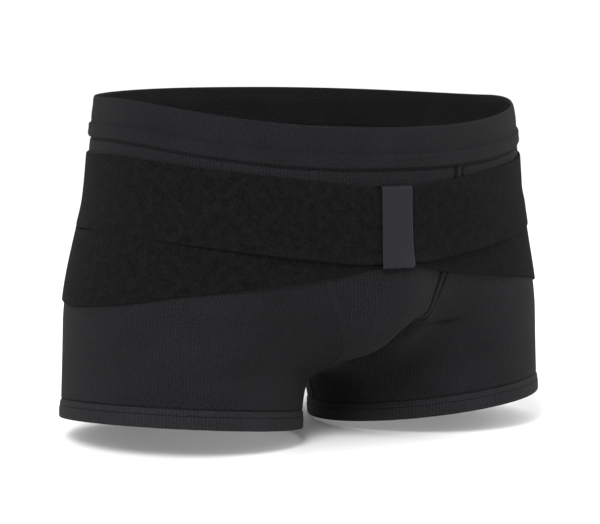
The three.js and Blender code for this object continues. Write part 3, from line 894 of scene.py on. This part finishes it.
# %% Back and gusset seams
BACK_SEAM_WIDTH, BACK_FURROW, GUSSET_SEAM_WIDTH, GUSSET_FURROW = 4.6, 0.3, 3.4, 0.2
back_down = np.linspace(0.0, 1.0, 100)
back_line = leave(0 * back_down, 0, 0, 1, rise_level(back_down))
back_rails = flat_seam("back_seam", back_line, BACK_SEAM_WIDTH, BACK_FURROW)
stitches("back_stitches", back_rails, KNIT_WALL - 0.1)
for edge_name, edge_line in zip(("front", "back"), gusset_edges):
    other_line = edge_line * [-1, 1, 1]
    between = settled(np.linspace(edge_line[0], other_line[0], 12)[1:-1])
    whole = np.concatenate([edge_line[::-1], between, other_line])
    flat_seam(f"gusset_{edge_name}_seam", whole, GUSSET_SEAM_WIDTH, GUSSET_FURROW)

# %% [markdown]
# ## Waistband
#
# The waistband is a soft elastic, folded inside a tube of the same cloth. Its lower edge is sewn
# to the trunks with a thick seam, which shows as a ridge just above a dark line. The profile
# below is that section, from the seam up, and it is swept round the waist.

# %% Waistband
WAIST_COUNT, TURN_COUNT = 360, 1441
BAND_PROFILE = [  # up the band as a share of its height, outer face and inner face in mm
    (-0.05, 0.7, 0.3), (0, 1.2, 0.3), (0.02, 2.3, 0.15), (0.06, 3.3, 0), (0.12, 3.5, 0),
    (0.2, 3.45, 0), (0.28, 3.6, 0), (0.315, 3.5, 0), (0.345, 2.5, 0), (0.38, 2.25, 0),
    (0.46, 2.45, 0), (0.6, 2.65, 0), (0.8, 2.6, 0), (0.9, 2.4, 0), (0.96, 2.1, 0.1), (1, 1.5, 0.6),
]
BAND_ROWS = ((0, 0.4, 30), (0.4, 0.9, 12), (0.9, 1, 7))  # from, to and how many
BAND_THREAD_UP, BAND_THREAD_LIFT = 0.035, 2.4


def at_turn(turn, level):
    """Places round the trunk. The turn is 0 at the front, and positive to the wearer's left."""
    angle = np.radians(turn)
    return leave(0 * angle, 0 * angle, HIP_WIDTH * np.sin(angle), -HIP_DEPTH * np.cos(angle), level)


def even_turns(level, count, start=0.0, end=360.0):
    """Turns whose places are evenly spaced along a level line."""
    turns = np.linspace(start, end, TURN_COUNT)
    line = at_turn(turns, level)
    length = arc_lengths(line[None])[0]
    return np.interp(np.linspace(0, length[-1], count + 1), length, turns), length[-1]


band_turns, waist_length = even_turns(waist_seam, WAIST_COUNT)
band_runs = [np.linspace(*run) for run in BAND_ROWS]
band_up = np.unique(np.concatenate([[BAND_PROFILE[0][0]], *band_runs]))[:, None]
band_feet = at_turn(
    np.broadcast_to(band_turns[:-1], (len(band_up), WAIST_COUNT)),
    lambda x, y: waist_seam(x, y) + mix(SEAM_GAP / 2, BAND_HEIGHT, band_up),
)
band_outer, band_inner = (along(BAND_PROFILE, column, band_up) for column in (1, 2))
around = np.linspace(0, waist_length, WAIST_COUNT + 1)
band = cloth(
    "waistband_cloth", band_feet, band_outer, band_inner, around, band_up * BAND_HEIGHT, band_knit,
    slot="black_band", node="waistband", closed=True,
)
thread_line = at_turn(band_turns, lambda x, y: waist_seam(x, y) + BAND_THREAD_UP * BAND_HEIGHT)
stitches("waistband_stitches", [thread_line], BAND_THREAD_LIFT, radius=FINE_THREAD)
print("waist", round(waist_length), "mm")

# %% [markdown]
# ## Leg hems
#
# Each leg ends in a folded hem with a twin row of stitches. The fold makes the cloth double, so
# the hem is thicker and its edge is round, and the stitches pull two shallow lines into it.

# %% Leg hems
HEM_COUNT = 240
HEM_EDGE_LIFT, HEM_ROUNDING, HEM_TUCKED = 0.9, 1.8, 0.5
TAPER_FROM, TAPER_OVER = 9, 5  # mm above the edge, where the folded cloth ends
STITCH_LINES = (9.0, 13.4)  # mm above the edge
STITCH_DIP, STITCH_DIP_WIDTH = 0.55, 0.9
TUCK = 1.4  # mm of a hem that lie hidden under the leg panel
hem_up = spaced(HEM_HEIGHT - SEAM_GAP, coarse=0.8, fine=0.35, reach=1.8)
hem_up = np.append(hem_up, HEM_HEIGHT + TUCK)


def hem_height(above):
    """The outer face of the hem, from the mm above its edge."""
    body = mix(HEM_WALL, KNIT_WALL, np.clip((above - TAPER_FROM) / TAPER_OVER, 0, 1))
    body = HEM_EDGE_LIFT + (body - HEM_EDGE_LIFT) * rounding(above, HEM_ROUNDING)
    for line in STITCH_LINES:
        body = body - STITCH_DIP * dent(above - line, STITCH_DIP_WIDTH)
    return np.where(above > HEM_HEIGHT, HEM_TUCKED, body)


def round_leg(angle, above):
    """Places round the left leg at mm above the hem's edge. The angle is 0 at the front."""
    return leave(THIGH_SPACING / 2, 0, np.sin(angle), -np.cos(angle), lambda x, y: hem_edge(x, y) + above)


hem_angle = np.linspace(0, 2 * math.pi, HEM_COUNT + 1)[:-1]
hem_feet = round_leg(np.broadcast_to(hem_angle, (len(hem_up), HEM_COUNT)), hem_up[:, None])
hem_around = arc_lengths(np.concatenate([hem_feet[0], hem_feet[0][:1]])[None])[0]
hem_inner = 0.35 * (1 - rounding(hem_up, 1.0))
for side_name, side in SIDES:
    cloth(
        f"{side_name}_hem_cloth", hem_feet, hem_height(hem_up)[:, None], hem_inner[:, None], hem_around,
        hem_up[:, None], hem_knit_painted_lighter, side, node=f"{side_name}_leg_hem", closed=True,
    )
    for k, above in enumerate(STITCH_LINES):
        line = round_leg(np.linspace(0, 2 * math.pi, 3 * HEM_COUNT + 1), above)
        lift = float(hem_height(np.array(above))) - 0.1
        stitches(f"{side_name}_hem_stitches_{k + 1}", [line], lift, (side,), radius=FINE_THREAD)
    print(side_name, "hem", round(hem_around[-1]), "mm round")

# %% [markdown]
# ## Straps of velour elastic
#
# The belt is a knitted elastic with a raised loop pile, such as hook fasteners grip. The pile
# drinks the light: it is the darkest cloth here, without grain but softly mottled where the
# loops lie one way or another. Each strap is a thin band with rounded edges. On each side the
# upper strap crosses over the lower one, and sinks back to the cloth above it.

# %% Velour elastic
STRAP_WIDTH, STRAP_WALL, STRAP_GAP, STRAP_TOP_GAP, STRAP_DIP = 51, 1.6, 0.15, 6.5, 5
STRAP_RUN = [  # degrees from the front, share of the dip, share of the spread
    (0, 1, 0.04), (7, 0.96, 0.05), (12, 0.68, 0.14), (18, 0.32, 0.24), (30, 0.02, 0.39), (42, 0, 0.54),
    (55, 0.2, 0.69), (70, 0.4, 0.88), (90, 0.6, 1), (110, 0.8, 1), (180, 0.8, 1),
]
PILE_GRAIN = 0.9  # the loops are about half a millimetre, too fine for the picture
PILE_LIE_SHARE, PILE_TONES, PILE_RELIEF = 0.8, (0.6, 1.2), 0.5
PILE_LOOKS = {
    "Roughness": 0.95, "Specular IOR Level": 0.03, "Sheen Weight": 0.01, "Sheen Roughness": 0.6,
}

pile, pile_shader = new_material("black velour elastic", PILE_LOOKS)
pile_places = cloth_scale(pile, PILE_GRAIN, PILE_GRAIN)
loops = noise(pile, pile_places, 0.5, 4.0, 0.85)
lie = noise(pile, pile_places, 0.16, 5.0, 0.7)
pile_tone = weighted(pile, lie, PILE_LIE_SHARE, loops)
pile_shade = ranged(pile, pile_tone, *PILE_TONES)
colour_and_relief(pile, pile_shader, pile_shade, 0x030303, 0x171718, pile_tone, PILE_RELIEF)

# %% Straps
ON_CLOTH = KNIT_WALL + STRAP_GAP
ON_STRAP = ON_CLOTH + STRAP_WALL + STRAP_GAP
STRAP_COUNT = 230
EDGE_LIFT = 0.8
CURL_REACH, CURL_FADES = 7, (34, 52)  # mm above the lower edge, and degrees from the front
BARE_FROM, BARE_TO = 3, 16  # mm above the lower strap, where the upper one comes to the cloth
LIFT_FADES, PART_TURNS = (20, 45), (45, 80)  # degrees from the front
strap_down = spaced(STRAP_WIDTH, coarse=2.0, fine=0.4, reach=2.4)


def strap_top(turn):
    return lambda x, y: waist_seam(x, y) - STRAP_TOP_GAP - STRAP_DIP * along(STRAP_RUN, 1, turn)


def strap(node, side, is_upper):
    edge = math.degrees(SEAM_GAP / HIP_WIDTH)
    turns, length = even_turns(strap_top(90.0), STRAP_COUNT, edge, 180 - edge)
    spread = STRAP_WIDTH * along(STRAP_RUN, 2, turns)
    dip = STRAP_DIP * along(STRAP_RUN, 1, turns)
    fall = strap_down[:, None] + (0 if is_upper else spread)
    grid_turns = np.broadcast_to(turns, (len(strap_down), len(turns)))
    feet = at_turn(grid_turns, lambda x, y: waist_seam(x, y) - STRAP_TOP_GAP - dip - fall)
    # The upper strap rides on the lower one at the front, and beside it where they part.
    bare = smoothstep(spread - fall, BARE_FROM, BARE_TO)
    near_front = 1 - smoothstep(turns, *LIFT_FADES)
    apart = smoothstep(turns, *PART_TURNS)
    over = mix(ON_STRAP + EDGE_LIFT * near_front, ON_CLOTH + 0.3, apart)[None]
    # Its lower edge stands off a little, which draws the dark line under it.
    curl = EDGE_LIFT * smoothstep(strap_down, STRAP_WIDTH - CURL_REACH, STRAP_WIDTH)[:, None]
    curl = curl * (1 - smoothstep(turns, *CURL_FADES))
    lift = (mix(over, ON_CLOTH, bare) if is_upper else ON_CLOTH + 0 * fall) + curl
    near_edge = rounding(np.minimum(strap_down, STRAP_WIDTH - strap_down), 1.2)[:, None]
    middle = lift + STRAP_WALL / 2
    half_wall = STRAP_WALL / 2 * (0.25 + 0.75 * near_edge)
    along_strap = np.linspace(0, length, STRAP_COUNT + 1)
    piece = cloth(
        f"{node}_velour", feet, middle + half_wall, middle - half_wall, along_strap,
        -strap_down[:, None], pile, side, slot="black_pile", node=node,
    )
    print(node, round(length), "mm long")
    return piece, length


straps = [
    strap(f"{side_name}_{place}_strap", side, place == "upper")
    for side_name, side in SIDES
    for place in ("lower", "upper")
]

# %% Where the straps are sewn at the back
# The two halves of each strap meet on the back seam, and a double row of stitches holds them.
TACK_ASIDE, TACK_IN, TACK_LIFT = (2.2, 5.0), 3, 0.2
BACK_FLATNESS = 0.55  # degrees at the back are this much of those on a circle
tack_z = np.linspace(TACK_IN, STRAP_WIDTH - TACK_IN, 40)
back_dip = STRAP_DIP * STRAP_RUN[-1][1]
for place, start, lift in (("upper", 0.0, 0.5), ("lower", STRAP_WIDTH, 0)):
    tack_lines = [
        at_turn(
            np.full(len(tack_z), 180 - math.degrees(aside / (HIP_DEPTH / 2) * BACK_FLATNESS)),
            lambda x, y: waist_seam(x, y) - STRAP_TOP_GAP - back_dip - start - tack_z,
        )
        for aside in TACK_ASIDE
    ]
    top_lift = ON_CLOTH + STRAP_WALL + lift - TACK_LIFT
    stitches(f"{place}_strap_tack", tack_lines, top_lift, (1, -1))

# %% [markdown]
# ## Front loop
#
# The straps meet under an upright loop of polyamide webbing, the one lighter piece of the belt.
# Its weave has fine upright cords, and it is folded in at the top and the bottom and sewn down.

# %% Front loop
LOOP_WIDTH, LOOP_WALL, LOOP_OVERLAP = 23, 1.3, 0.2
LOOP_BEND, BEND_POINTS, FACE_POINTS = 2.0, 7, 28
CORD_PITCH, WEFT_SHARE, WEBBING_RELIEF = 1.6, 1.2, 0.18

webbing_looks = {"Roughness": 0.6, "Specular IOR Level": 0.2}
webbing, webbing_shader = new_material("grey polyamide webbing", webbing_looks)
webbing_places = cloth_scale(webbing, CORD_PITCH, CORD_PITCH)
webbing_split = add(webbing, "SeparateXYZ", {"Vector": webbing_places})
cords = wave(webbing, webbing_split.outputs["X"])
weft = noise(webbing, webbing_places, 1.1, 4.0, 0.7)
weave = weighted(webbing, weft, WEFT_SHARE, cords)
colour_and_relief(webbing, webbing_shader, weave, 0x060509, 0x151319, weave, WEBBING_RELIEF)

lowest = STRAP_WIDTH * (1 + STRAP_RUN[0][2])
face_lift = ON_STRAP + STRAP_WALL + 2 * EDGE_LIFT + LOOP_WALL / 2
reach = LOOP_OVERLAP + LOOP_WALL / 2
# The webbing's middle line, as (mm down from the straps' top, mm off the body).
top_bend = [
    (-reach + LOOP_BEND - LOOP_BEND * math.sin(a), face_lift - LOOP_BEND + LOOP_BEND * math.cos(a))
    for a in np.linspace(0, math.pi / 2, BEND_POINTS)
]
face = [(fall, face_lift) for fall in np.linspace(LOOP_BEND, lowest - LOOP_BEND, FACE_POINTS)]
low_bend = [(lowest - fall, lift) for fall, lift in top_bend]
line = [(-reach, ON_CLOTH)] + top_bend[::-1] + face + low_bend + [(lowest + reach, ON_CLOTH)]
line = np.array(line)
tangent = np.gradient(line, axis=0)
tangent /= np.linalg.norm(tangent, axis=1, keepdims=True)
sideways = np.stack([-tangent[:, 1], tangent[:, 0]], axis=1)
sideways *= np.sign(sideways[len(line) // 2, 1])
loop_x = spaced(LOOP_WIDTH, coarse=1.0, fine=0.4, reach=1.6) - LOOP_WIDTH / 2
loop_edge = 0.3 + 0.7 * rounding(LOOP_WIDTH / 2 - np.abs(loop_x), 0.9)


def loop_face(sign):
    flat = line[:, None] + sign * LOOP_WALL / 2 * sideways[:, None] * loop_edge[None, :, None]
    fall, lift = flat[..., 0], flat[..., 1]
    x = np.broadcast_to(loop_x, fall.shape)
    return raised(leave(x, 0, 0, -1, lambda a, b: strap_top(0.0)(a, b) - fall), lift)


loop_length = arc_lengths(np.concatenate([line, 0 * line[:, :1]], axis=1)[None])[0]
loop = shell(
    "front_loop_webbing", loop_face(1), loop_face(-1), loop_x[None, :], loop_length[:, None], webbing,
    "grey_webbing", "front_loop",
)
print("loop", round(float(loop_length[-1])), "mm of webbing")
